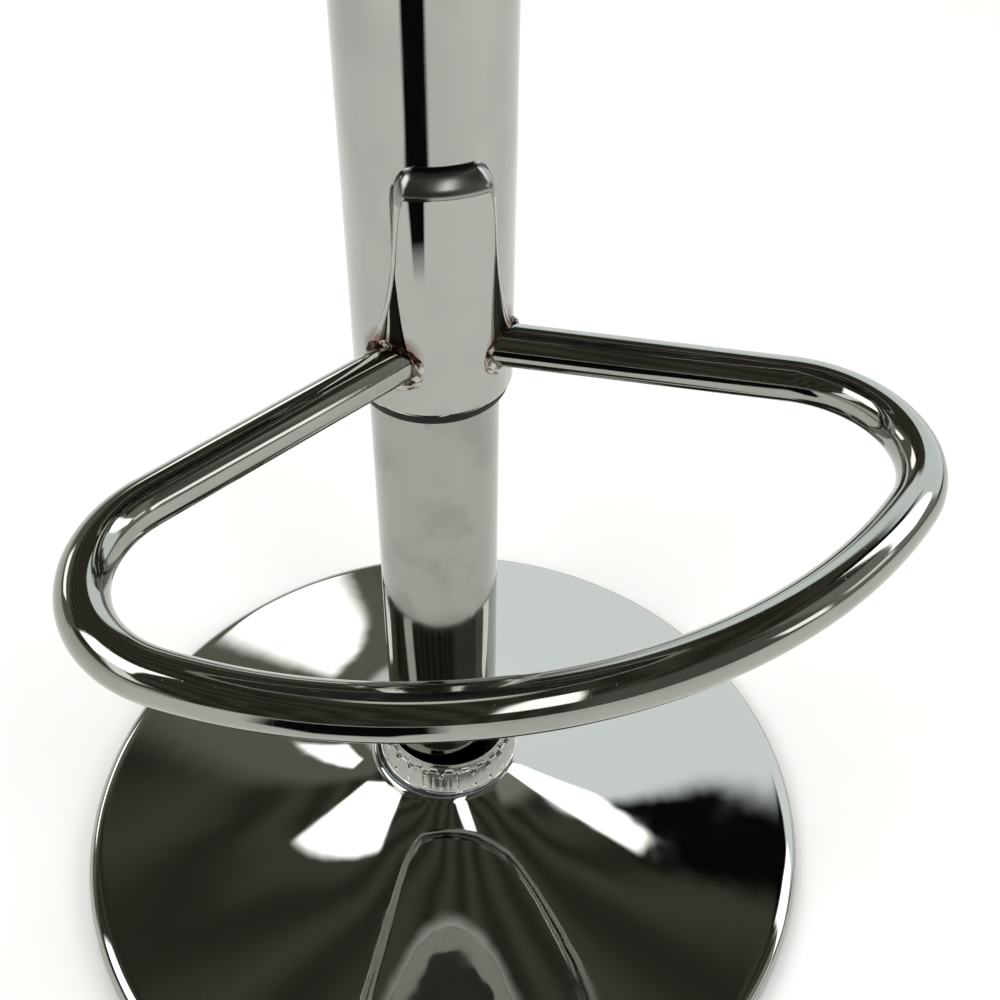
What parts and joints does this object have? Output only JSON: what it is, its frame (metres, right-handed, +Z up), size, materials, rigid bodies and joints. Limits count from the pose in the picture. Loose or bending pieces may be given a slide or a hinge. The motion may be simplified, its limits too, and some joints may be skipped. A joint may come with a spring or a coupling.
{
  "type": "counter stool",
  "caption": "Round padded counter stool on a chrome gas-lift column with a trumpet base and a welded foot ring.",
  "frame": {"origin": "on the floor, on the axis of the column", "axes": "+Z up along the column, the front of the foot ring towards -Y, the lift lever towards +X"},
  "size_m": [0.384, 0.384, 0.806],
  "materials": {
    "rubber": "matt moulded black rubber",
    "chrome_plate": "mirror-bright chrome plate with fine wiping scratches",
    "weld_metal": "lumpy weld bead plated over, with some brown tint",
    "plain_steel": "plain turned steel, lightly oiled",
    "zinc_plate": "bright zinc plate",
    "black_enamel": "satin black stove enamel",
    "black_nylon": "black moulded nylon",
    "plywood": "plywood, stained black and sealed",
    "red_vinyl": "deep red upholstery vinyl with a fine grain",
    "red_padding": "vinyl-coated upholstery cloth over foam, deep red with a fine grain"
  },
  "bodies": {
    "base": {"floor_ring": "rubber", "base_shell": "chrome_plate", "ballast_plate": "plain_steel", "base_hub": "plain_steel", "collar_gasket": "rubber", "column_collar": "chrome_plate", "column_tube": "chrome_plate", "guide_bush": "black_nylon", "tube_end_disc": "plain_steel", "lower_race": "plain_steel"},
    "rod": {"ball_cage": "zinc_plate", "upper_race": "plain_steel", "bump_stop": "rubber", "rod_washer": "zinc_plate", "rod_clip": "zinc_plate", "piston_rod": "plain_steel", "piston": "zinc_plate"},
    "carriage": {"pressure_cylinder": "black_enamel", "rod_gland": "black_nylon", "column_sleeve": "chrome_plate", "sleeve_bush": "black_nylon", "sleeve_hub": "plain_steel", "sleeve_cap": "black_nylon", "foot_ring": "chrome_plate", "weld_right": "weld_metal", "weld_left": "weld_metal", "seat_plate": "black_enamel", "seat_screw_1": "zinc_plate", "seat_screw_2": "zinc_plate", "seat_screw_3": "zinc_plate", "seat_screw_4": "zinc_plate", "tee_nut_1": "zinc_plate", "tee_nut_2": "zinc_plate", "tee_nut_3": "zinc_plate", "tee_nut_4": "zinc_plate", "seat_pan": "plywood", "seat_band": "chrome_plate", "seat_piping": "red_vinyl", "seat_cushion": "red_padding", "lever_pivot": "zinc_plate"},
    "lever": {"lift_lever": "zinc_plate", "lever_grip": "black_nylon"},
    "valve": {"valve_pin": "zinc_plate"}
  },
  "joints": [
    {"name": "swivel", "type": "hinge", "parent": "base", "child": "rod", "pos_m": [0, 0, 0.04], "axis": [0, 0, 1], "continuous": true},
    {"name": "lift", "type": "slide", "parent": "rod", "child": "carriage", "axis": [0, 0, 1], "range_m": [-0.19, 0]},
    {"name": "lever_tilt", "type": "hinge", "parent": "carriage", "child": "lever", "pos_m": [0.03, 0, 0.708], "axis": [0, -1, 0], "range_deg": [0, 8], "stiffness_Nm_per_rad": 1.2, "springref_deg": -8.59},
    {"name": "valve_press", "type": "slide", "parent": "carriage", "child": "valve", "axis": [0, 0, -1], "range_m": [0, 0.0045]}
  ],
  "couplings": [
    {"joint": "valve_press", "follows": "lever_tilt", "m_per_rad": 0.03}
  ]
}
